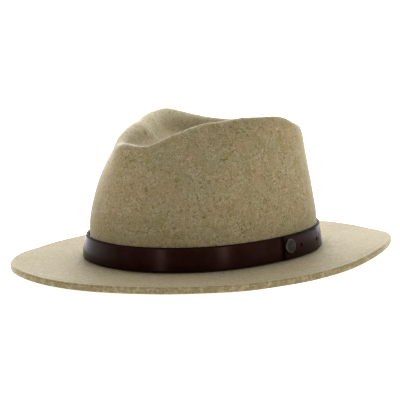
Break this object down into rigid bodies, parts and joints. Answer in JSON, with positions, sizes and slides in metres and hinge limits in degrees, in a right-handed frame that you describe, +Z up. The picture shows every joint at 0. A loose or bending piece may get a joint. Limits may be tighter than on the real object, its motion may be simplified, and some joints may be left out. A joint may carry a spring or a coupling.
{
  "type": "felt fedora",
  "caption": "Fedora of tan felt with a teardrop-dented, front-pinched crown, a gently rolled oval brim, a dark leather band, its tab and a small oval badge.",
  "frame": {"origin": "On the surface that the brim rests on, under the middle of the hat's length and width.", "axes": "+Z is up, the front of the hat with the pinch faces -Y, and +X is the wearer's left, where the tab and badge are."},
  "size_m": [0.294, 0.3522, 0.121],
  "materials": {
    "felt": "brushed heathered felt",
    "band_leather": "satin",
    "tab_leather": "satin",
    "pewter": "dark antique"
  },
  "bodies": {
    "root": {"felt_body": "felt", "band_strap": "band_leather", "band_tab": "tab_leather", "badge": "pewter"}
  },
  "joints": []
}
